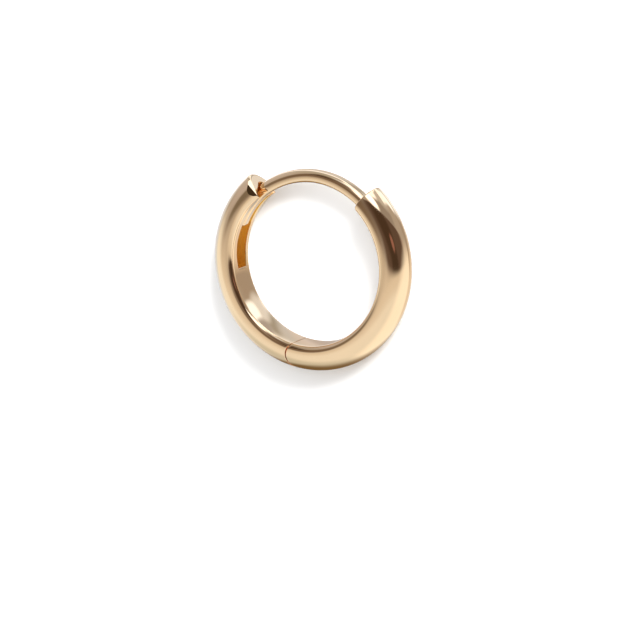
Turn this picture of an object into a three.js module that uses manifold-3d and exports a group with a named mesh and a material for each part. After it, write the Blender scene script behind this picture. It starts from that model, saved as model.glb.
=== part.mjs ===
// Hinged huggie hoop earring, lying on its side.
// Two half-round gold arcs make a ring about the vertical Z axis. The arcs meet at a
// hidden hinge at the bottom of the hoop (-Y side). A thin curved ear post is soldered
// to the end of one arc, crosses the open top of the hoop (+Y side), and lies in a
// channel milled in the inner face of the other arc.
// Units are millimetres. Z = 0 is the surface that the hoop lies on, and the origin is
// the middle of the whole hoop's footprint, a little below the ring's axis.

import * as THREE from 'three';
import { mergeVertices } from 'three/addons/utils/BufferGeometryUtils.js';
import Module from 'manifold-3d';

const wasm = await Module();
wasm.setup();

// ---------------------------------------------------------------- ring
const OUTER_R = 6.5;          // crest of the half-round section
const INNER_R = 4.88;         // flat inner face
const WIDTH = 2.23;           // along the ring's axis
const MID = WIDTH / 2;
const EDGE_A = 0.31;          // rounding of the two inner edges, along the radius
const EDGE_B = 0.16;          // and along the ring's axis
const LAND = 0.05;            // narrow flat beside each inner edge, which the hoop lies on
const AXIS_Y = 0.45;          // the ring's axis, from the middle of the footprint
const RING_STEPS = 120;       // facets round a full turn
const CREST_STEPS = 14;       // facets over the half-round crest
const EDGE_STEPS = 4;

// ---------------------------------------------------------------- ends of the arcs
const POST_ARC_END = 39.5;    // degrees from +X, the arc that carries the post
// The open end of the catch arc leans back a little towards the crest.
const CATCH_END = [
  // radius, degrees from +X
  { r: 4.20, deg: 118.9 },
  { r: 4.88, deg: 118.9 },
  { r: 5.20, deg: 118.92 },
  { r: 5.53, deg: 119.0 },
  { r: 5.85, deg: 119.1 },
  { r: 6.18, deg: 119.25 },
  { r: 6.50, deg: 119.4 },
  { r: 7.20, deg: 119.9 },
];

// ---------------------------------------------------------------- hinge
const HINGE_DEG = -102.3;     // where the pin stands, from +X
const HINGE_R = 5.65;         // how far the pin is from the ring's axis
const KNUCKLE_R = 1.02;       // round end of the post arc, centred on the pin
const SEAM_GAP = 0.07;        // between the round end and the socket of the catch arc
const SLOT_HALF = 0.33;       // half the slot between the two cheeks of the post arc
const SLOT_R = 0.66;          // round bottom of that slot
const SLOT_FROM = 98;         // the slot is open from here ...
const SLOT_TO = 209;          // ... to here, degrees about the pin from the post side
const TONGUE_HALF = 0.28;     // half the tongue of the catch arc
const TONGUE_R = 0.60;        // round end of the tongue
const NECK_HALF = 0.26;       // the neck that joins the tongue to the arc, inner side
const NECK_SLOPE = 150;       // and its outer side, which runs out at this angle about the pin
const PIN_R = 0.25;
const PIN_HALF = 0.70;
const BORE_R = 0.29;
const BORE_HALF = 0.74;
const PIN_SIDES = 24;

// ---------------------------------------------------------------- ear post
const POST_INNER_R = 4.85;
const POST_OUTER_R = 5.605;
const POST_SHIFT_X = -0.076;  // the post's arc is centred a little to the catch side
const POST_BACK = 0.56;       // from the middle of the width towards the lying side
const POST_FRONT = 0.42;      // and towards the upper side
const POST_CORNER = 3;        // superellipse exponent of its rounded section
const POST_SIDES = 16;
const POST_TIP = 148.4;       // degrees where its free end is
const POST_TIP_ROUND = 2.2;   // degrees over which the end is rounded

// ---------------------------------------------------------------- channel for the post
const CHANNEL_FLOOR_R = 5.95;
const CHANNEL_BACK = 0.62;
const CHANNEL_FRONT = 0.48;
const CHANNEL_CORNER = 0.2;
const CHANNEL_END = 179.2;    // degrees
// The mouth is flared. Each row is a corner of the opening: radius, and height from the
// middle of the width, at the end face and where the flare runs out.
const FLARE_FACE_DEG = 117.0;
const FLARE_IN_DEG = 124.5;
const FLARE = [
  { rFace: 4.50, hFace: 0.95, rIn: 4.50, hIn: 0.48 },
  { rFace: 5.18, hFace: 0.93, rIn: 5.18, hIn: 0.48 },
  { rFace: 5.60, hFace: 0.69, rIn: 5.75, hIn: 0.48 },
  { rFace: 6.05, hFace: 0.22, rIn: 5.95, hIn: 0.28 },
  { rFace: 6.05, hFace: -0.33, rIn: 5.95, hIn: -0.42 },
  { rFace: 5.60, hFace: -0.76, rIn: 5.75, hIn: -0.62 },
  { rFace: 5.18, hFace: -0.95, rIn: 5.18, hIn: -0.62 },
  { rFace: 4.50, hFace: -0.97, rIn: 4.50, hIn: -0.62 },
];

// ---------------------------------------------------------------- helpers
const rad = (deg) => (deg * Math.PI) / 180;
const polar = (r, deg) => new THREE.Vector2(r * Math.cos(rad(deg)), r * Math.sin(rad(deg)));

function toSolid(geometry) {
  const g = geometry.clone();
  g.deleteAttribute('normal');
  g.deleteAttribute('uv');
  const merged = mergeVertices(g, 1e-5);
  const triVerts = new Uint32Array(merged.index.array);
  const vertProperties = new Float32Array(merged.attributes.position.array);
  return new wasm.Manifold(new wasm.Mesh({ numProp: 3, vertProperties, triVerts }));
}

function toGeometry(solid) {
  const mesh = solid.getMesh();
  const g = new THREE.BufferGeometry();
  g.setAttribute('position', new THREE.BufferAttribute(new Float32Array(mesh.vertProperties), 3));
  g.setIndex(new THREE.BufferAttribute(new Uint32Array(mesh.triVerts), 1));
  const flat = g.toNonIndexed();
  flat.computeVertexNormals();
  return flat;
}

// A closed section (radius, height) turned about the Z axis.
function turned(section, steps) {
  const pts = [...section, section[0].clone()];
  const g = new THREE.LatheGeometry(pts, steps);
  g.rotateX(Math.PI / 2);
  return toSolid(g);
}

// A plan outline raised from z0 to z1.
function raised(outline, z0, z1) {
  const g = new THREE.ExtrudeGeometry(new THREE.Shape(outline), {
    depth: z1 - z0, bevelEnabled: false, steps: 1,
  });
  g.translate(0, 0, z0);
  return toSolid(g);
}

// Points along an arc about the ring's axis.
function arc(r, from, to, steps) {
  const pts = [];
  for (let i = 0; i <= steps; i += 1) pts.push(polar(r, from + ((to - from) * i) / steps));
  return pts;
}

// The hinge's own frame: u points along the ring to the post arc, v points outwards.
const HINGE = polar(HINGE_R, HINGE_DEG);
const V_DIR = HINGE.clone().normalize();
const U_DIR = new THREE.Vector2(-V_DIR.y, V_DIR.x);
const atHinge = (u, v) => HINGE.clone().addScaledVector(U_DIR, u).addScaledVector(V_DIR, v);
const aboutHinge = (r, deg) => atHinge(r * Math.cos(rad(deg)), r * Math.sin(rad(deg)));
function hingeArc(r, from, to, steps) {
  const pts = [];
  for (let i = 0; i <= steps; i += 1) pts.push(aboutHinge(r, from + ((to - from) * i) / steps));
  return pts;
}

// ---------------------------------------------------------------- the plain ring
function halfRoundSection() {
  const pts = [];
  const rc = INNER_R + EDGE_A;
  for (let i = 0; i <= EDGE_STEPS; i += 1) {
    const a = rad(180 + (90 * i) / EDGE_STEPS);
    pts.push(new THREE.Vector2(rc + EDGE_A * Math.cos(a), EDGE_B + EDGE_B * Math.sin(a)));
  }
  const r0 = rc + LAND;
  for (let i = 0; i <= CREST_STEPS; i += 1) {
    const a = rad(-90 + (180 * i) / CREST_STEPS);
    pts.push(new THREE.Vector2(r0 + (OUTER_R - r0) * Math.cos(a), MID + MID * Math.sin(a)));
  }
  for (let i = 0; i <= EDGE_STEPS; i += 1) {
    const a = rad(90 + (90 * i) / EDGE_STEPS);
    pts.push(new THREE.Vector2(rc + EDGE_A * Math.cos(a), WIDTH - EDGE_B + EDGE_B * Math.sin(a)));
  }
  return pts;
}
const ring = turned(halfRoundSection(), RING_STEPS);

// ---------------------------------------------------------------- catch half
const catchRegion = [
  ...hingeArc(KNUCKLE_R + SEAM_GAP / 2, 246, 114, 22),   // socket, from the inner side outwards
  ...arc(7.6, 246, 130, 12),
  ...CATCH_END.slice().reverse().map((p) => polar(p.r, p.deg)),
  ...arc(4.0, 122, 248, 12),
];
let catchHalf = ring.intersect(raised(catchRegion, -1, WIDTH + 1));

const channelSection = [
  new THREE.Vector2(4.4, MID - CHANNEL_BACK),
  new THREE.Vector2(CHANNEL_FLOOR_R - CHANNEL_CORNER, MID - CHANNEL_BACK),
  new THREE.Vector2(CHANNEL_FLOOR_R, MID - CHANNEL_BACK + CHANNEL_CORNER),
  new THREE.Vector2(CHANNEL_FLOOR_R, MID + CHANNEL_FRONT - CHANNEL_CORNER),
  new THREE.Vector2(CHANNEL_FLOOR_R - CHANNEL_CORNER, MID + CHANNEL_FRONT),
  new THREE.Vector2(4.4, MID + CHANNEL_FRONT),
];
const channelRegion = [
  ...arc(3.8, 112, CHANNEL_END, 12),
  ...arc(7.4, CHANNEL_END, 112, 12),
];
const channel = turned(channelSection, RING_STEPS).intersect(raised(channelRegion, -1, WIDTH + 1));

// The flare: two matching outlines, one at the end face and one inside, joined by facets.
function flareSolid() {
  const n = FLARE.length;
  const pos = [];
  const idx = [];
  const put = (r, h, deg) => {
    const p = polar(r, deg);
    pos.push(p.x, p.y, MID + h);
  };
  FLARE.forEach((c) => put(c.rFace, c.hFace, FLARE_FACE_DEG));
  FLARE.forEach((c) => put(c.rIn, c.hIn, FLARE_IN_DEG));
  for (let i = 0; i < n; i += 1) {
    const j = (i + 1) % n;
    idx.push(i, j, n + j, i, n + j, n + i);
  }
  for (let i = 1; i < n - 1; i += 1) {
    idx.push(0, i + 1, i);
    idx.push(n, n + i, n + i + 1);
  }
  const g = new THREE.BufferGeometry();
  g.setAttribute('position', new THREE.Float32BufferAttribute(pos, 3));
  g.setIndex(idx);
  return toSolid(g);
}
catchHalf = catchHalf.subtract(channel).subtract(flareSolid());

// Tongue with its neck, and the bore for the pin.
const bore = raised(hingeArc(BORE_R, 0, 360 - 360 / PIN_SIDES, PIN_SIDES - 1), MID - BORE_HALF, MID + BORE_HALF);
const tongue = raised(hingeArc(TONGUE_R, 0, 360 - 360 / 40, 39), MID - TONGUE_HALF, MID + TONGUE_HALF)
  .add(raised([
    atHinge(-1.6, -NECK_HALF), atHinge(0, -NECK_HALF), atHinge(0, NECK_HALF),
    aboutHinge(0.5 * TONGUE_R / Math.sin(rad(NECK_SLOPE)) * 0.96, NECK_SLOPE),
    aboutHinge(1.2, NECK_SLOPE), atHinge(-1.6, 0.6),
  ], MID - TONGUE_HALF, MID + TONGUE_HALF));
catchHalf = catchHalf.add(tongue).subtract(bore);

// ---------------------------------------------------------------- post half
const postRegion = [
  ...hingeArc(KNUCKLE_R - SEAM_GAP / 2, 114, 246, 22),
  ...arc(4.0, -100, POST_ARC_END, 12),
  ...arc(7.6, POST_ARC_END, -106, 12),
];
let postHalf = ring.intersect(raised(postRegion, -1, WIDTH + 1));
const slot = raised([
  ...hingeArc(SLOT_R, SLOT_TO, SLOT_FROM + 360, 30),
  aboutHinge(1.5, SLOT_FROM),
  aboutHinge(2.0, 0.5 * (SLOT_FROM + SLOT_TO)),
  aboutHinge(1.5, SLOT_TO),
], MID - SLOT_HALF, MID + SLOT_HALF);
postHalf = postHalf.subtract(slot).subtract(bore);

// The ear post: a rounded section turned about its own centre, with a rounded free end.
function postSection() {
  const pts = [];
  const rm = 0.5 * (POST_INNER_R + POST_OUTER_R);
  const rh = 0.5 * (POST_OUTER_R - POST_INNER_R);
  const zm = MID + 0.5 * (POST_FRONT - POST_BACK);
  const zh = 0.5 * (POST_FRONT + POST_BACK);
  const e = 2 / POST_CORNER;
  for (let i = 0; i < POST_SIDES; i += 1) {
    const a = rad((360 * (i + 0.5)) / POST_SIDES);
    const c = Math.cos(a);
    const s = Math.sin(a);
    pts.push(new THREE.Vector2(rm + rh * Math.sign(c) * Math.abs(c) ** e, zm + zh * Math.sign(s) * Math.abs(s) ** e));
  }
  return pts;
}
const POST_MEAN_R = 0.5 * (POST_INNER_R + POST_OUTER_R);
const postRegionPlan = [
  polar(4.2, POST_ARC_END - 1),
  polar(6.2, POST_ARC_END - 1),
  ...arc(6.2, POST_ARC_END + 4, POST_TIP - POST_TIP_ROUND - 0.3, 10),
  polar(POST_OUTER_R + 0.03, POST_TIP - POST_TIP_ROUND),
  polar(POST_MEAN_R + 0.22, POST_TIP - 0.35 * POST_TIP_ROUND),
  polar(POST_MEAN_R + 0.06, POST_TIP),
  polar(POST_MEAN_R - 0.02, POST_TIP),
  polar(POST_MEAN_R - 0.16, POST_TIP - 0.35 * POST_TIP_ROUND),
  polar(POST_INNER_R + 0.03, POST_TIP - POST_TIP_ROUND),
  ...arc(4.2, POST_TIP - POST_TIP_ROUND - 0.3, POST_ARC_END + 4, 10),
];
const post = turned(postSection(), RING_STEPS)
  .translate([POST_SHIFT_X, 0, 0])
  .intersect(raised(postRegionPlan, -1, WIDTH + 1));
postHalf = postHalf.add(post);

// ---------------------------------------------------------------- hinge pin
const pin = raised(hingeArc(PIN_R, 0, 360 - 360 / PIN_SIDES, PIN_SIDES - 1), MID - PIN_HALF, MID + PIN_HALF);

// ---------------------------------------------------------------- scene graph
const gold = (hex) => new THREE.MeshStandardMaterial({ color: hex, roughness: 0.12, metalness: 1.0 });
const group = new THREE.Group();
group.position.set(0, AXIS_Y, 0);
const named = (name, solid, hex) => {
  const mesh = new THREE.Mesh(toGeometry(solid), gold(hex));
  mesh.name = name;
  group.add(mesh);
  return mesh;
};
named('catch_half', catchHalf, 0xd8b483);
named('post_half', postHalf, 0xdcb98a);
named('hinge_pin', pin, 0xcfae80);

export default group;
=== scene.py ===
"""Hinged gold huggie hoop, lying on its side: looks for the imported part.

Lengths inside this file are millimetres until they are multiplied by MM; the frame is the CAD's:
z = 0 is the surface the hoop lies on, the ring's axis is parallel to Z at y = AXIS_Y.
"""
import math
import bpy
import numpy as np
from mathutils import Matrix, Vector

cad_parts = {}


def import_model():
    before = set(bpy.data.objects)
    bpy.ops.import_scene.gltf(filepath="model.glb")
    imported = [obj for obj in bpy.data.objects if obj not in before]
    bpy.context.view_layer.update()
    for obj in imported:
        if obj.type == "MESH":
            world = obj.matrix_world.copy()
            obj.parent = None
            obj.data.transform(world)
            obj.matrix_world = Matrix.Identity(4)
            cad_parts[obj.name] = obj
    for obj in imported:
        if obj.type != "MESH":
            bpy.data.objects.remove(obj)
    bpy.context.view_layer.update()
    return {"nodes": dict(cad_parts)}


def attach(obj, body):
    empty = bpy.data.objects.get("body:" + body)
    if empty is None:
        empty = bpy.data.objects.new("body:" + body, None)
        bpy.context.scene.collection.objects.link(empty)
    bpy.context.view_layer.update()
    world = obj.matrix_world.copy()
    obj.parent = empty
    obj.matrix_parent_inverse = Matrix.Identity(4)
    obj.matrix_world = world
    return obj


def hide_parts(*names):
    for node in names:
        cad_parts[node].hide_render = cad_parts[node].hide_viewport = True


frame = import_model()

MM = 0.001
AXIS_Y = 0.45
OUTER_R, INNER_R, WIDTH = 6.5, 4.88, 2.23
MID = WIDTH / 2
EDGE_A, EDGE_B = 0.36, 0.28                   # rounding of the inner edges: along the radius, and along the axis
MOUTH_B = 0.16                                # the same along the axis where the catch's mouth thins the wall
CROWN = 0.05                                  # the inside face is slightly domed across its width
POST_ARC_END = 39.5
HINGE_DEG, HINGE_R = -102.3, 5.65
KNUCKLE_R, SEAM_GAP = 1.02, 0.07
HINGE = np.array([HINGE_R * math.cos(math.radians(HINGE_DEG)), HINGE_R * math.sin(math.radians(HINGE_DEG))])
V_DIR = HINGE / np.linalg.norm(HINGE)
U_DIR = np.array([-V_DIR[1], V_DIR[0]])


# ------------------------------------------------------------------ mesh helpers
def fillet_path(points):
    """points: (x, y, fillet radius, samples in the fillet, samples on the straight before it).
    Returns the sampled path; the first and last points have no fillet."""
    P = [np.array(p[:2], float) for p in points]
    out = [P[0]]
    prev_end = P[0]
    for i in range(1, len(P)):
        straight = points[i][4]
        if i < len(P) - 1:
            a, b, c = P[i - 1], P[i], P[i + 1]
            u, w = (a - b), (c - b)
            lu, lw = np.linalg.norm(u), np.linalg.norm(w)
            u, w = u / max(lu, 1e-9), w / max(lw, 1e-9)
            ang = math.acos(max(-1, min(1, float(u @ w))))
            r, n = points[i][2], points[i][3]
            t = r / max(math.tan(ang / 2), 1e-6)
            t = min(t, 0.46 * lu, 0.46 * lw)
            r = t * math.tan(ang / 2)
            start, end = b + u * t, b + w * t
            for k in range(1, straight + 1):
                out.append(prev_end + (start - prev_end) * k / straight)
            if n > 1:
                bis = (u + w) / max(np.linalg.norm(u + w), 1e-9)
                centre = b + bis * (r / max(math.sin(ang / 2), 1e-6))
                s, e = start - centre, end - centre
                half = math.acos(max(-1, min(1, float(s @ e) / max(np.linalg.norm(s) * np.linalg.norm(e), 1e-12))))
                for k in range(1, n):
                    f = k / (n - 1)
                    if half < 1e-4:
                        out.append(centre + s + (e - s) * f)
                    else:
                        out.append(centre + (math.sin((1 - f) * half) * s + math.sin(f * half) * e) / math.sin(half))
            prev_end = end
        else:
            for k in range(1, straight + 1):
                out.append(prev_end + (P[i] - prev_end) * k / straight)
    return np.array(out)


def outer_chain(edge_b=EDGE_B):
    """The half-round outside of the band, from the upper inner edge over the crest to the lower one, as (radius, height from the middle)."""
    rc, zc = INNER_R + EDGE_A, MID - edge_b
    pts = []
    for k in range(17):
        a = math.radians(180 - 90 * k / 16)
        pts.append((rc + EDGE_A * math.cos(a), zc + edge_b * math.sin(a)))
    for k in range(1, 60):
        a = math.radians(90 - 180 * k / 60)
        pts.append((rc + (OUTER_R - rc) * math.cos(a), MID * math.sin(a)))
    for k in range(17):
        a = math.radians(-90 - 90 * k / 16)
        pts.append((rc + EDGE_A * math.cos(a), -zc + edge_b * math.sin(a)))
    return np.array(pts)


def edge_at(deg):
    """The edge rounding of the catch arc at one angle."""
    u = min(1.0, max(0.0, (deg - 125.0) / 11.0))
    return MOUTH_B + (EDGE_B - MOUTH_B) * u * u * (3 - 2 * u)


OUTER = outer_chain()
MOUTH_OUTER = outer_chain(MOUTH_B)
N = len(OUTER)


def inner_chain(front, back, floor_r, front_mid, back_mid, front_floor, back_floor, edge_b):
    """The inside of the band with the channel: the same number of points as OUTER."""
    zc = MID - edge_b
    pts = fillet_path([
        (INNER_R, zc, 0, 0, 0),
        (INNER_R, front, 0.045, 7, 6),
        (front_mid[0], front_mid[1], 0.25, 4, 5),
        (floor_r, front_floor, 0.2, 9, 6),
        (floor_r, back_floor, 0.2, 9, 10),
        (back_mid[0], back_mid[1], 0.25, 4, 6),
        (INNER_R, back, 0.045, 7, 5),
        (INNER_R, -zc, 0, 0, 6),
    ])
    want = N
    if len(pts) != want:      # resample on the index, which keeps the fillets' samples nearly in place
        x = np.linspace(0, len(pts) - 1, want)
        pts = np.stack([np.interp(x, np.arange(len(pts)), pts[:, i]) for i in (0, 1)], 1)
    pts[0, 1] -= 0.004
    pts[-1, 1] += 0.004
    return pts


def outline_normals(poly):
    """Outward normals of a closed outline listed clockwise seen with radius to the right and height up."""
    a = np.roll(poly, 1, 0)
    b = np.roll(poly, -1, 0)
    e1, e2 = poly - a, b - poly
    n1 = np.stack([-e1[:, 1], e1[:, 0]], 1)
    n2 = np.stack([-e2[:, 1], e2[:, 0]], 1)
    n1 /= np.maximum(np.linalg.norm(n1, axis=1, keepdims=True), 1e-9)
    n2 /= np.maximum(np.linalg.norm(n2, axis=1, keepdims=True), 1e-9)
    n = n1 + n2
    n /= np.maximum(np.linalg.norm(n, axis=1, keepdims=True), 1e-9)
    return n


def world(rz, deg):
    """(radius, height from the middle) and angles to frame points in mm."""
    t = np.radians(deg)
    return np.stack([rz[:, 0] * np.cos(t), rz[:, 0] * np.sin(t) + AXIS_Y, rz[:, 1] + MID], 1)


def mesh_object(name, verts, faces, body, material, sharp=40.0):
    me = bpy.data.meshes.new(name)
    me.from_pydata([tuple(v) for v in np.asarray(verts) * MM], [], faces)
    me.validate()
    import bmesh
    bm = bmesh.new()
    bm.from_mesh(me)
    bmesh.ops.remove_doubles(bm, verts=bm.verts, dist=2e-7)
    bmesh.ops.dissolve_degenerate(bm, dist=1e-7, edges=bm.edges)
    bmesh.ops.recalc_face_normals(bm, faces=bm.faces)
    bm.to_mesh(me)
    bm.free()
    o = bpy.data.objects.new(name, me)
    bpy.context.collection.objects.link(o)
    me.materials.append(material)
    for p in me.polygons:
        p.use_smooth = True
    me.set_sharp_from_angle(angle=math.radians(sharp))
    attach(o, body)
    return o


def weighted(o):
    m = o.modifiers.new("weighted", "WEIGHTED_NORMAL")
    m.mode = "FACE_AREA"
    m.weight = 50
    m.keep_sharp = True


def loft(sections):
    """sections: list of (closed outline points as frame points). Joins them with quads."""
    M = len(sections[0])
    verts = np.concatenate(sections)
    faces = []
    for k in range(len(sections) - 1):
        a, b = k * M, (k + 1) * M
        for j in range(M):
            i = (j + 1) % M
            faces.append((a + j, a + i, b + i, b + j))
    return verts, faces


def ladder_cap(outer, inner, theta_of_r, steps=9):
    """An end face: rungs from the outside to the inside of the section, bent to theta_of_r."""
    verts, faces = [], []
    for s in range(steps + 1):
        rz = outer + (inner - outer) * s / steps
        verts.append(world(rz, theta_of_r(rz[:, 0])))
    verts = np.concatenate(verts)
    n = len(outer)
    for s in range(steps):
        for j in range(n - 1):
            a = s * n + j
            faces.append((a, a + 1, a + n + 1, a + n))
    return verts, faces


def join(parts):
    verts, faces, base = [], [], 0
    for v, f in parts:
        verts.append(v)
        faces += [tuple(base + i for i in q) for q in f]
        base += len(v)
    return np.concatenate(verts), faces


def closed(outer, inner):
    return np.concatenate([outer, inner[::-1]])


def with_fillet(outer, inner, f, theta_of_r, sign, steps=4):
    """Sections that round the edge of an end face by f, one radius or one for each point of the outline.
    sign is +1 when the arc runs to higher angles from the face."""
    poly = closed(outer, inner)
    nrm = outline_normals(poly)
    out = []
    f = np.broadcast_to(np.asarray(f, float), len(poly))
    for k in range(steps, -1, -1):        # from the body to the face
        phi = math.radians(90.0 * (steps - k) / steps)
        inset = f * (1 - math.cos(phi))
        back = f * (1 - math.sin(phi))
        p = poly - nrm * inset[:, None]
        deg = theta_of_r(p[:, 0]) + sign * np.degrees(back / p[:, 0])
        out.append((p, deg))
    p = poly - nrm * f[:, None]
    return out, p[: len(outer)], p[len(outer):][::-1]


# ------------------------------------------------------------------ materials
def gold(name, base, rough, scale=1.0):
    m = bpy.data.materials.new(name)
    m.use_nodes = True
    nt = m.node_tree
    b = nt.nodes["Principled BSDF"]
    b.inputs["Metallic"].default_value = 1.0
    tc = nt.nodes.new("ShaderNodeTexCoord")
    # colour: a faint drift between two alloys of the same gold
    n1 = nt.nodes.new("ShaderNodeTexNoise")
    n1.inputs["Scale"].default_value = 420.0 * scale
    n1.inputs["Detail"].default_value = 3.0
    nt.links.new(tc.outputs["Object"], n1.inputs["Vector"])
    ramp = nt.nodes.new("ShaderNodeValToRGB")
    ramp.color_ramp.elements[0].position = 0.3
    ramp.color_ramp.elements[1].position = 0.7
    lo = [c * 0.985 for c in base]
    hi = [min(1.0, c * 1.015) for c in base]
    ramp.color_ramp.elements[0].color = (*lo, 1)
    ramp.color_ramp.elements[1].color = (*hi, 1)
    nt.links.new(n1.outputs["Fac"], ramp.inputs["Fac"])
    # the walls of the channel are left rough, not polished; their deeper amber colour is painted shade, standing in for
    # the warm light bounced inside the channel
    rec = nt.nodes.new("ShaderNodeAttribute")
    rec.attribute_name = "recess"
    channel_amber_shade = nt.nodes.new("ShaderNodeMix")
    channel_amber_shade.data_type = "RGBA"
    channel_amber_shade.inputs[7].default_value = (1.0, 0.70, 0.22, 1)
    nt.links.new(rec.outputs["Fac"], channel_amber_shade.inputs["Factor"])
    nt.links.new(ramp.outputs["Color"], channel_amber_shade.inputs[6])
    nt.links.new(channel_amber_shade.outputs[2], b.inputs["Base Color"])
    # roughness: polish marks
    n2 = nt.nodes.new("ShaderNodeTexNoise")
    n2.inputs["Scale"].default_value = 2600.0 * scale
    n2.inputs["Detail"].default_value = 6.0
    n2.inputs["Roughness"].default_value = 0.65
    nt.links.new(tc.outputs["Object"], n2.inputs["Vector"])
    mr = nt.nodes.new("ShaderNodeMapRange")
    mr.inputs["From Min"].default_value = 0.3
    mr.inputs["From Max"].default_value = 0.75
    mr.inputs["To Min"].default_value = rough * 0.75
    mr.inputs["To Max"].default_value = rough * 1.35
    nt.links.new(n2.outputs["Fac"], mr.inputs["Value"])
    cast = nt.nodes.new("ShaderNodeMath")
    cast.operation = "MULTIPLY_ADD"
    cast.inputs[1].default_value = 0.40
    nt.links.new(rec.outputs["Fac"], cast.inputs[0])
    nt.links.new(mr.outputs["Result"], cast.inputs[2])
    nt.links.new(cast.outputs[0], b.inputs["Roughness"])
    # bump: slow hand-polished waves and fine hairlines
    n3 = nt.nodes.new("ShaderNodeTexNoise")
    n3.inputs["Scale"].default_value = 700.0 * scale
    n3.inputs["Detail"].default_value = 1.0
    nt.links.new(tc.outputs["Object"], n3.inputs["Vector"])
    b1 = nt.nodes.new("ShaderNodeBump")
    b1.inputs["Strength"].default_value = 0.35
    b1.inputs["Distance"].default_value = 0.000010
    nt.links.new(n3.outputs["Fac"], b1.inputs["Height"])
    mp = nt.nodes.new("ShaderNodeMapping")
    mp.inputs["Rotation"].default_value = (0.35, 0.2, 0.6)
    mp.inputs["Scale"].default_value = (1.0, 14.0, 6.0)
    nt.links.new(tc.outputs["Object"], mp.inputs["Vector"])
    n4 = nt.nodes.new("ShaderNodeTexNoise")
    n4.inputs["Scale"].default_value = 2200.0 * scale
    n4.inputs["Detail"].default_value = 4.0
    nt.links.new(mp.outputs["Vector"], n4.inputs["Vector"])
    b2 = nt.nodes.new("ShaderNodeBump")
    b2.inputs["Strength"].default_value = 0.08
    b2.inputs["Distance"].default_value = 0.000002
    nt.links.new(n4.outputs["Fac"], b2.inputs["Height"])
    nt.links.new(b1.outputs["Normal"], b2.inputs["Normal"])
    nt.links.new(b2.outputs["Normal"], b.inputs["Normal"])
    return m


GOLD = gold("polished_gold", (0.92, 0.675, 0.415), 0.07)
PIN_GOLD = gold("pin_gold", (0.84, 0.64, 0.40), 0.16)


# ------------------------------------------------------------------ catch half
def catch_end(r):
    return 118.9 + 0.2 * np.clip(r - INNER_R, 0, None) ** 2


def seam(side):
    """The round joint line about the pin: side is +1 for the socket, -1 for the knuckle. It closes up towards the inside face."""
    def at(r):
        t = np.clip((np.asarray(r) - 4.86) / 0.35, 0, 1)
        rho = KNUCKLE_R + side * 0.5 * (0.028 + (SEAM_GAP - 0.028) * t * t * (3 - 2 * t))
        c = (r * r + HINGE_R ** 2 - rho * rho) / (2 * HINGE_R * r)
        return HINGE_DEG - np.degrees(np.arccos(np.clip(c, -1, 1)))
    return at


RIM_FRONT = np.array([(117.0, 0.95), (119.0, 0.92), (121.7, 0.70), (126.2, 0.53), (130.0, 0.48), (150.0, 0.47), (160.0, 0.50), (169.4, 0.45), (174.5, 0.40), (179.2, 0.35), (180.5, 0.34)])
RIM_BACK = np.array([(117.0, 0.97), (119.0, 0.93), (122.0, 0.72), (124.5, 0.60), (131.0, 0.575), (146.0, 0.575), (150.0, 0.66), (170.0, 0.66), (175.0, 0.63), (179.2, 0.58), (180.5, 0.57)])


def channel_at(deg):
    """The inside of the catch arc at one angle."""
    f = float(np.interp(deg, RIM_FRONT[:, 0], RIM_FRONT[:, 1]))
    b = float(np.interp(deg, RIM_BACK[:, 0], RIM_BACK[:, 1]))
    u = min(1.0, max(0.0, (125.0 - deg) / 6.0))       # 1 at the mouth, 0 where the flare has run out
    u = u * u * (3 - 2 * u)
    fm = (5.42 - 0.30 * u, (1 - u) * f + u * 0.96)
    ff = 0.46 + (0.04 - 0.46) * u
    bm = (5.25, -((1 - u) * b + u * 0.97))
    bf = -(0.58 + (0.30 - 0.58) * u)
    floor = 5.72 + 0.08 * u
    return inner_chain(f, -b, floor, fm, bm, min(ff, f), max(bf, -b), edge_at(deg))


def flat_inner(crown=CROWN):
    zc = MID - EDGE_B
    z = np.linspace(zc - 0.004, -zc + 0.004, N)
    return np.stack([INNER_R - crown * (1 - (z / zc) ** 2), z], 1)


def surface_pt(r, deg):
    """A point of the front of the band, in frame mm."""
    r0 = INNER_R + EDGE_A
    if r >= r0:
        z = MID * math.sqrt(max(0.0, 1 - ((r - r0) / (OUTER_R - r0)) ** 2))
    else:
        z = MID - MOUTH_B + MOUTH_B * math.sqrt(max(0.0, 1 - ((r0 - r) / EDGE_A) ** 2))
    t = math.radians(deg)
    return (r * math.cos(t), r * math.sin(t) + AXIS_Y, z + MID)


def slab(p, n, along, half, thick):
    """A block that stands on the plane through p with normal n."""
    n = np.array(n) / np.linalg.norm(n)
    t = np.array(along) - n * float(np.array(along) @ n)
    t /= np.linalg.norm(t)
    s = np.cross(n, t)
    v = []
    for h in (0.0, thick):
        for i, j in ((-1, -1), (1, -1), (1, 1), (-1, 1)):
            v.append(np.array(p) + t * half * i + s * half * j + n * h)
    f = [(3, 2, 1, 0), (4, 5, 6, 7), (0, 1, 5, 4), (1, 2, 6, 5), (2, 3, 7, 6), (3, 0, 4, 7)]
    return np.array(v), f


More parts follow.
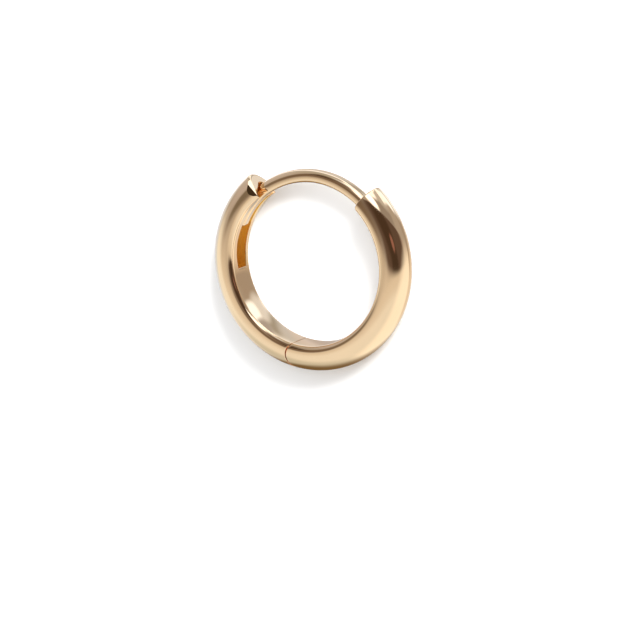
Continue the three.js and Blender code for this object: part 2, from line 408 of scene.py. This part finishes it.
def cut_solid(o, cutters, flats=()):
    """Takes closed meshes away from a piece. The exact solver works in units near 1.
    flats: (point, normal) of the plane cuts that keep a crisp outline."""
    obs = []
    o.scale = (1000, 1000, 1000)
    for k, (cv, cf) in enumerate(cutters):
        me = bpy.data.meshes.new("cutter_%d" % k)
        me.from_pydata([tuple(v) for v in np.asarray(cv) * MM], [], cf)
        c = bpy.data.objects.new("cutter_%d" % k, me)
        bpy.context.collection.objects.link(c)
        c.scale = (1000, 1000, 1000)
        obs.append(c)
        b = o.modifiers.new("cut_%d" % k, "BOOLEAN")
        b.operation, b.object, b.solver = "DIFFERENCE", c, "EXACT"
    bpy.context.view_layer.update()
    dg = bpy.context.evaluated_depsgraph_get()
    cut = bpy.data.meshes.new_from_object(o.evaluated_get(dg))
    o.modifiers.clear()
    o.scale = (1, 1, 1)
    o.data = cut
    for c in obs:
        bpy.data.objects.remove(c)
    for p in cut.polygons:
        p.use_smooth = True
    cut.set_sharp_from_angle(angle=math.radians(40))
    if flats:
        import bmesh
        bm = bmesh.new()
        bm.from_mesh(cut)
        bm.normal_update()
        on = {}
        for f in bm.faces:
            c, k = np.array(f.calc_center_median()) * 1000, -1
            for i, (p, n) in enumerate(flats):
                if abs(float((c - p) @ n)) < 2e-3 and float(np.array(f.normal) @ n) > 0.9995:
                    k = i
            on[f.index] = k
        for e in bm.edges:
            if len(e.link_faces) == 2 and on[e.link_faces[0].index] != on[e.link_faces[1].index]:
                e.smooth = False
        bm.to_mesh(cut)
        bm.free()
    return o


def catch_half():
    parts = []
    seq = []                                          # (closed outline, angles)
    mouth = channel_at(119.0)
    t = np.clip((MOUTH_OUTER[:, 0] - 5.3) / 0.9, 0, 1)
    f = np.concatenate([0.04 + 0.17 * t * t * (3 - 2 * t), np.full(N, 0.05)])      # softest over the crest
    fil, cap_o, cap_i = with_fillet(MOUTH_OUTER, mouth, f, catch_end, +1, 12)
    parts.append(ladder_cap(cap_o, cap_i, catch_end))
    seq += fil[::-1]                                  # face first
    first = fil[0][1]
    for k in range(1, 23):                            # from the slanted end to a straight section
        u = k / 22
        nominal = 119.4 + (130.0 - 119.4) * u
        inner = channel_at(nominal)
        poly = closed(outer_chain(edge_at(nominal)), inner)
        seq.append((poly, first + (130.0 - first) * u))
    for d in np.arange(131.0, 179.01, 1.0):
        poly = closed(outer_chain(edge_at(d)), channel_at(d))
        seq.append((poly, np.full(len(poly), d)))
    end = channel_at(179.2)
    for depth, d in ((1.0, 179.2), (0.05, 179.2), (0.022, 179.3), (0.006, 179.5), (0.0, 179.8)):
        inner = end.copy()
        inner[:, 0] = INNER_R + (inner[:, 0] - INNER_R) * depth
        poly = closed(OUTER, inner)
        seq.append((poly, np.full(len(poly), d)))
    for d in np.arange(181.0, 240.01, 1.0):
        u = min(1.0, (d - 181.0) / 14.0)              # the dome of the inside face grows past the channel's end
        seq.append((closed(OUTER, flat_inner(CROWN * u * u * (3 - 2 * u))), np.full(2 * N, d)))
    flat = closed(OUTER, flat_inner())
    socket = seam(+1)
    turn = lambda r: socket(r) + 360.0
    fil, cap_o, cap_i = with_fillet(OUTER, flat_inner(), 0.03, turn, -1, 4)
    first = fil[0][1]
    for k in range(1, 9):
        seq.append((flat, 240.0 + (first - 240.0) * k / 9))
    seq += fil
    parts.append(ladder_cap(cap_o, cap_i, turn))
    parts.append(loft([world(p, d) for p, d in seq]))
    verts, faces = join(parts)
    o = mesh_object("catch_half_gold", verts, faces, "catch_side", GOLD)
    # the flat polished on the front of the mouth, and the bevel along its end edge
    a, b, c = (np.array(p) for p in (surface_pt(6.03, 119.2), surface_pt(5.42, 123.4), surface_pt(5.02, 118.85)))
    n1 = np.cross(b - a, c - a)
    n1 /= np.linalg.norm(n1)
    n1 = n1 * math.copysign(1.0, n1[2])
    n_end = np.array([math.cos(math.radians(31)), math.sin(math.radians(31)), 0.0])
    e = (c - a) / np.linalg.norm(c - a)
    bis = n1 + n_end
    bis = bis - e * float(bis @ e)
    bis /= np.linalg.norm(bis)
    n2 = bis - 0.11 * e
    n2 /= np.linalg.norm(n2)
    cut_solid(o, [slab(a, n1, e, 1.6, 0.9), slab(c, n2, e, 2.2, 0.6)], [(a, n1), (c, n2)])
    # mask of the channel walls: the material paints these faces a deeper amber as painted shade, and makes them rougher
    rec = o.data.attributes.new("recess", "FLOAT", "FACE")
    for f in o.data.polygons:
        x, y, z = f.center[0] / MM, f.center[1] / MM - AXIS_Y, f.center[2] / MM
        r, deg = math.hypot(x, y), math.degrees(math.atan2(y, x)) % 360
        out = (f.normal[0] * x + f.normal[1] * y) / r
        if 4.90 < r < 5.95 and 121.0 < deg < 179.9 and abs(z - MID) < 0.66 and out < 0.5:
            rec.data[f.index].value = 1.0
    weighted(o)
    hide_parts("catch_half")
    return o


# ------------------------------------------------------------------ hinge tongue
def hinge_pt(r, deg):
    a = math.radians(deg)
    return HINGE + U_DIR * r * math.cos(a) + V_DIR * r * math.sin(a)


def prism(outline, z0, z1, bevel):
    """A plan outline (frame mm, about the ring's axis) raised between two heights, with small bevels."""
    pts = np.array(outline)
    n = len(pts)
    area = 0.5 * float(np.sum(pts[:, 0] * np.roll(pts[:, 1], -1) - np.roll(pts[:, 0], -1) * pts[:, 1]))
    if area < 0:
        pts = pts[::-1]
    e1 = pts - np.roll(pts, 1, 0)
    e2 = np.roll(pts, -1, 0) - pts
    nn = [np.stack([e[:, 1], -e[:, 0]], 1) / np.maximum(np.linalg.norm(e, axis=1, keepdims=True), 1e-9) for e in (e1, e2)]
    nrm = nn[0] + nn[1]
    nrm /= np.maximum(np.linalg.norm(nrm, axis=1, keepdims=True), 1e-9)
    rings = []
    for inset, z in ((bevel, z0), (bevel * 0.3, z0 + bevel * 0.3), (0, z0 + bevel), (0, z1 - bevel), (bevel * 0.3, z1 - bevel * 0.3), (bevel, z1)):
        p = pts - nrm * inset
        rings.append(np.stack([p[:, 0], p[:, 1] + AXIS_Y, np.full(n, z)], 1))
    verts = np.concatenate(rings)
    faces = []
    for k in range(len(rings) - 1):
        for j in range(n):
            i = (j + 1) % n
            faces.append((k * n + j, k * n + i, (k + 1) * n + i, (k + 1) * n + j))
    faces.append(tuple(range(n))[::-1])
    faces.append(tuple(range((len(rings) - 1) * n, len(rings) * n)))
    return verts, faces


def tongue():
    plan = [HINGE + U_DIR * -1.6 + V_DIR * 0.6, hinge_pt(1.2, 150)]
    plan += [hinge_pt(0.60, a) for a in np.linspace(150, -154.3, 49)]
    plan += [HINGE + U_DIR * -1.6 + V_DIR * -0.26]
    verts, faces = prism(plan, MID - 0.28, MID + 0.28, 0.02)
    o = mesh_object("hinge_tongue", verts, faces, "catch_side", GOLD, 35)
    weighted(o)
    return o


# ------------------------------------------------------------------ post half
def post_half():
    parts = []
    seq = []
    face = lambda r: np.full(np.shape(r), POST_ARC_END)
    flat_i = flat_inner()
    r = OUTER[:, 0]
    t, w = np.clip((5.45 - r) / 0.5, 0, 1), np.clip((r - 6.1) / 0.35, 0, 1)
    f = 0.06 + 0.16 * t * t * (3 - 2 * t) + 0.07 * w * w * (3 - 2 * w)      # softest at the inside corners
    fil, cap_o, cap_i = with_fillet(OUTER, flat_i, np.concatenate([f, np.full(N, 0.20)]), face, -1, 10)
    parts.append(ladder_cap(cap_o, cap_i, face))
    seq += fil[::-1]
    flat = closed(OUTER, flat_i)
    for d in np.arange(36.0, -96.01, -1.0):
        seq.append((flat, np.full(len(flat), d)))
    knuckle = seam(-1)
    fil, cap_o, cap_i = with_fillet(OUTER, flat_i, 0.03, knuckle, +1, 4)
    first = fil[0][1]
    for k in range(1, 10):
        seq.append((flat, -96.0 + (first + 96.0) * k / 10))
    seq += fil
    parts.append(ladder_cap(cap_o, cap_i, knuckle))
    parts.append(loft([world(p, d) for p, d in seq]))
    verts, faces = join(parts)
    o = mesh_object("post_half_gold", verts, faces, "post_side", GOLD)
    # the slot that the tongue turns in
    plan = [hinge_pt(0.66, a) for a in np.linspace(209, 458, 61)]
    plan += [hinge_pt(1.5, 98), hinge_pt(2.0, 153.5), hinge_pt(1.5, 209)]
    cut_solid(o, [prism(plan, MID - 0.33, MID + 0.33, 0.0005)])
    o.data.set_sharp_from_angle(angle=math.radians(40))
    weighted(o)
    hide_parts("post_half")
    return o


def ear_post():
    """The curved post: a rounded section swept about its own centre."""
    cx, rm, rh = -0.076, 0.5 * (4.85 + 5.605), 0.5 * (5.605 - 4.85)
    zm, zh = MID + 0.5 * (0.42 - 0.56), 0.5 * (0.42 + 0.56)
    M = 56
    a = np.radians(360 * (np.arange(M) + 0.5) / M)
    e = 2 / 3.0
    ux = np.sign(np.cos(a)) * np.abs(np.cos(a)) ** e
    uz = np.sign(np.sin(a)) * np.abs(np.sin(a)) ** e
    secs = []
    tip = 149.0
    dome = 0.17
    stations = [(d, 1.0, 0.0) for d in (38.6,)]
    foot = 0.06
    for k in range(6):                                # solder fillet at the foot
        x = foot * k / 5
        grow = foot * (1 - math.sqrt(max(0.0, 1 - (1 - x / foot) ** 2)))
        stations.append((38.96 + math.degrees(x / rm), 1.0, grow))
    for d in np.arange(40.5, tip - math.degrees(dome / rm) - 0.5, 1.0):
        stations.append((d, 1.0, 0.0))
    for k in range(0, 11):
        phi = math.radians(90 * k / 10)
        stations.append((tip - math.degrees(dome * (1 - math.sin(phi)) / rm), math.cos(phi), 0.0))
    for d, s, g in stations:
        s = max(s, 0.02)
        u = min(1.0, max(0.0, (d - 112.0) / 14.0))
        u = u * u * (3 - 2 * u)                       # the post is eased on its front side where it enters the catch
        zc, zz = zm - 0.045 * u, zh - 0.035 * u
        v = min(1.0, max(0.0, (d - 70.0) / 40.0))
        lean = 0.13 * v * v * (3 - 2 * v)             # its front ridge leans a little towards the middle of the hoop
        r = rm + (rh * s + g) * ux - lean * s * np.maximum(uz, 0.0) ** 1.5
        z = zc + (zz * (s ** 0.8) + g) * uz
        t = math.radians(d)
        secs.append(np.stack([cx + r * math.cos(t), r * math.sin(t) + AXIS_Y, z], 1))
    verts, faces = loft(secs)
    n = len(secs)
    faces.append(tuple(range(M)))
    faces.append(tuple(range((n - 1) * M, n * M)))
    o = mesh_object("ear_post_wire", verts, faces, "post_side", GOLD, 60)
    weighted(o)
    return o


catch = catch_half()
tongue()
post = post_half()
ear_post()
pin = frame["nodes"]["hinge_pin"]
pin.data.materials.clear()
pin.data.materials.append(PIN_GOLD)

# ------------------------------------------------------------------ floor
def floor_plane():
    me = bpy.data.meshes.new("floor")
    s = 0.6
    me.from_pydata([(-s, -s, 0), (s, -s, 0), (s, s, 0), (-s, s, 0)], [], [(0, 1, 2, 3)])
    o = bpy.data.objects.new("floor", me)
    bpy.context.collection.objects.link(o)
    m = bpy.data.materials.new("floor_white")
    m.use_nodes = True
    b = m.node_tree.nodes["Principled BSDF"]
    b.inputs["Base Color"].default_value = (0.92, 0.92, 0.92, 1)
    b.inputs["Roughness"].default_value = 0.35
    b.inputs["Specular IOR Level"].default_value = 0.3
    me.materials.append(m)
    o.visible_glossy = False
    return o


floor_plane()

# ------------------------------------------------------------------ camera
RING = Vector((0.0, AXIS_Y, MID)) * MM
back = np.array([0.48986, 0.11205, 0.86457])
right = np.array([0.86872, -0.14604, -0.47328])
up = np.array([0.07323, 0.98291, -0.16888])
FOCAL = 3802.0
DIST = 0.2255
back /= np.linalg.norm(back)
off_x, off_y = 312.46 - 320.0, 315.0 - 262.60          # where the ring's centre stands in the frame
b2 = back + right * (off_x / FOCAL) + up * (off_y / FOCAL)
b2 /= np.linalg.norm(b2)
r2 = right - b2 * float(right @ b2)
r2 /= np.linalg.norm(r2)
u2 = np.cross(b2, r2)
cam_data = bpy.data.cameras.new("camera")
cam = bpy.data.objects.new("camera", cam_data)
bpy.context.collection.objects.link(cam)
cam_data.sensor_width = 36.0
cam_data.lens = FOCAL * 36.0 / 640.0
cam_data.clip_start, cam_data.clip_end = 0.005, 10.0
loc = np.array(RING) + back * DIST
m4 = Matrix(((r2[0], u2[0], b2[0], loc[0]), (r2[1], u2[1], b2[1], loc[1]), (r2[2], u2[2], b2[2], loc[2]), (0, 0, 0, 1)))
cam.matrix_world = m4
bpy.context.scene.camera = cam

# ------------------------------------------------------------------ light
scene = bpy.context.scene
scene.view_settings.view_transform = "Standard"
scene.view_settings.look = "None"
scene.cycles.max_bounces = 20
scene.cycles.glossy_bounces = 16


def towards(zen, az):
    z, a = math.radians(zen), math.radians(az)
    return (math.sin(z) * math.cos(a), math.sin(z) * math.sin(a), math.cos(z))


def disc(zen, az, inner, outer):
    """A round soft panel: full inside the first angle, gone past the second."""
    return towards(zen, az), math.cos(math.radians(outer)), math.cos(math.radians(inner))


def side(n, lo, hi):
    """All that lies on one side of a soft straight edge."""
    return n, lo, hi


TABLE = (0.068, 0.983, 0.174)
# the room that the metal mirrors: each panel is laid over those before it
UNDER_EDGE = (0.250, -0.881, 0.402)                   # the dark side of the room ends along this plane
OVER_EDGE = (-0.250, 0.881, -0.402)
TABLE_EDGE_1 = (-0.268, -0.949, -0.166)              # the white table starts here
TABLE_EDGE_2 = (-0.127, -0.983, -0.130)
PANELS = [
    ("left_up", (0.56, 0.54, 0.60), [disc(78, 142, 10, 30)]),
    ("top", (0.48, 0.49, 0.50), [disc(86, 100, 12, 32)]),
    ("top_l", (0.60, 0.60, 0.66), [disc(110, 129, 12, 35)]),
    ("bt_l", (0.42, 0.42, 0.44), [disc(122, 115, 8, 24)]),
    ("bt_ll", (0.66, 0.68, 0.74), [disc(145, 134, 8, 25)]),
    ("back_rim", (1.2, 1.35, 1.6), [disc(142, 110, 12, 34)]),
    ("dark_cl", (0.20, 0.155, 0.125), [disc(26, 148, 10, 28)]),
    ("dark_cl2", (0.22, 0.19, 0.16), [disc(48, 163, 5, 16)]),
    ("top_front", (0.17, 0.13, 0.11), [disc(44, 96, 9, 20)]),
    ("facet", (0.05, 0.036, 0.024), [disc(33, 125, 4, 9)]),
    ("right_side", (0.48, 0.43, 0.43), [side(UNDER_EDGE, -0.03, 0.02), disc(100, -6, 24, 50)]),
    ("dark_right", (0.125, 0.088, 0.075), [side(UNDER_EDGE, -0.03, 0.02), disc(49, 0, 42, 62)]),
    ("dark_core", (0.072, 0.046, 0.032), [side(UNDER_EDGE, -0.03, 0.02), disc(35, 20, 12, 26)]),
    ("dark_low", (0.068, 0.045, 0.032), [side(UNDER_EDGE, -0.03, 0.02), disc(42, -17, 8, 22)]),
    ("red", (0.34, 0.17, 0.15), [disc(44, 5, 3, 8)]),
    ("panel", (0.34, 0.32, 0.33), [side(OVER_EDGE, -0.02, 0.03), disc(77, 37, 16, 30)]),
    ("panel_up", (0.60, 0.62, 0.68), [side(OVER_EDGE, -0.02, 0.03), disc(98, 51, 10, 24)]),
    ("back_glow", (1.35, 1.5, 1.8), [side((0.2527, -0.5856, -0.7702), -0.01, 0.03), side(OVER_EDGE, -0.06, 0.05), side(towards(90, 128), -0.05, 0.05)]),
    ("window", (2.0, 2.15, 2.5), [disc(53, 54, 9, 16), side(OVER_EDGE, -0.02, 0.02)]),
    ("window_mid", (1.5, 1.6, 1.9), [disc(78, 58, 9, 16)]),
    ("window_up", (2.0, 2.15, 2.5), [disc(98, 64, 9, 17), side((-0.772, 0.609, 0.184), -0.03, 0.05)]),
    ("window_top", (2.0, 2.15, 2.5), [disc(128, 70, 7, 14), side((-0.772, 0.609, 0.184), -0.03, 0.05)]),
    ("window_fade", (0.84, 0.95, 1.18), [disc(78, 78, 5, 12)]),
    ("table", (0.80, 0.77, 0.745), [side(TABLE_EDGE_1, -0.07, 0.05), side(TABLE_EDGE_2, -0.12, 0.18)]),
    ("table_near", (0.93, 0.96, 1.0), [side(TABLE_EDGE_1, 0.02, 0.34), side(TABLE_EDGE_2, 0.10, 0.42)]),
    ("table_left", (1.0, 1.06, 1.12), [disc(87, -167, 12, 32)]),
    ("table_right", (1.16, 1.19, 1.22), [disc(108, -56, 30, 60)]),
    ("table_shade", (0.66, 0.70, 0.70), [disc(94, -128, 14, 38)]),
    ("table_dark", (0.20, 0.14, 0.07), [disc(119, 228, 8, 46), side((0.687, -0.598, -0.416), -0.10, 0.10)]),
    ("far_left", (0.81, 0.93, 1.15), [disc(115, 178, 6, 24)]),
    ("in_180", (0.35, 0.26, 0.18), [disc(150, -18, 5, 17)]),
    ("in_0", (0.42, 0.38, 0.36), [disc(150, 15, 5, 20)]),
    ("in_85", (0.43, 0.44, 0.45), [disc(150, 85, 5, 17)]),
    ("in_50", (0.85, 0.93, 1.1), [disc(150, 50, 5, 15)]),
    ("in_lamp", (1.4, 1.6, 2.0), [disc(137, 46, 6, 13)]),
    ("back_dark", (0.46, 0.47, 0.55), [disc(136, 70, 5, 12)]),
    ("in_115", (0.65, 0.70, 0.80), [disc(150, 115, 5, 17)]),
    ("in_145", (0.75, 0.73, 0.76), [disc(150, 145, 5, 20)]),
    ("in_175", (0.56, 0.50, 0.47), [disc(150, 175, 5, 20)]),
    ("in_minus_50", (0.86, 0.80, 0.76), [disc(150, -50, 5, 25)]),
]


def studio():
    w = bpy.data.worlds.new("studio")
    scene.world = w
    w.use_nodes = True
    nt = w.node_tree
    nt.nodes.clear()
    tc = nt.nodes.new("ShaderNodeTexCoord")
    colour = nt.nodes.new("ShaderNodeRGB")
    colour.outputs[0].default_value = (0.470, 0.450, 0.460, 1)
    prev = colour.outputs[0]
    for name, rgb, masks in PANELS:
        fac = None
        for n, lo, hi in masks:
            n = Vector(n).normalized()
            d = nt.nodes.new("ShaderNodeVectorMath")
            d.operation = "DOT_PRODUCT"
            d.inputs[1].default_value = n
            nt.links.new(tc.outputs["Generated"], d.inputs[0])
            mr = nt.nodes.new("ShaderNodeMapRange")
            mr.interpolation_type = "SMOOTHSTEP"
            mr.inputs["From Min"].default_value = lo
            mr.inputs["From Max"].default_value = hi
            nt.links.new(d.outputs["Value"], mr.inputs["Value"])
            if fac is None:
                fac = mr.outputs["Result"]
            else:
                mul = nt.nodes.new("ShaderNodeMath")
                mul.operation = "MULTIPLY"
                nt.links.new(fac, mul.inputs[0])
                nt.links.new(mr.outputs["Result"], mul.inputs[1])
                fac = mul.outputs[0]
        mix = nt.nodes.new("ShaderNodeMix")
        mix.data_type = "RGBA"
        mix.label = name
        nt.links.new(fac, mix.inputs["Factor"])
        nt.links.new(prev, mix.inputs[6])
        mix.inputs[7].default_value = (*rgb, 1)
        prev = mix.outputs[2]
    room = nt.nodes.new("ShaderNodeBackground")
    nt.links.new(prev, room.inputs["Color"])
    plain = nt.nodes.new("ShaderNodeBackground")      # what the camera sees past the floor's edge
    plain.inputs["Color"].default_value = (1, 1, 1, 1)
    lp = nt.nodes.new("ShaderNodeLightPath")
    ms = nt.nodes.new("ShaderNodeMixShader")
    nt.links.new(lp.outputs["Is Camera Ray"], ms.inputs[0])
    nt.links.new(room.outputs[0], ms.inputs[1])
    nt.links.new(plain.outputs[0], ms.inputs[2])
    out = nt.nodes.new("ShaderNodeOutputWorld")
    nt.links.new(ms.outputs[0], out.inputs["Surface"])


studio()


def floor_light(name, zen, az, dist, size, power):
    """Lights the floor only: the metal's mirror image is the room's."""
    ld = bpy.data.lights.new(name, "AREA")
    ld.shape = "DISK"
    ld.size = size
    ld.energy = power
    o = bpy.data.objects.new(name, ld)
    bpy.context.collection.objects.link(o)
    d = Vector(towards(zen, az))
    o.location = Vector(RING) + d * dist
    o.rotation_euler = d.to_track_quat("Z", "Y").to_euler()
    o.visible_glossy = False
    o.visible_camera = False
    return o


scene.world.cycles_visibility.diffuse = False         # the floor has its own soft lights
floor_light("overhead", 16, 50, 0.45, 0.80, 3.5)
floor_light("key", 62, 42, 0.5, 0.26, 4.8)
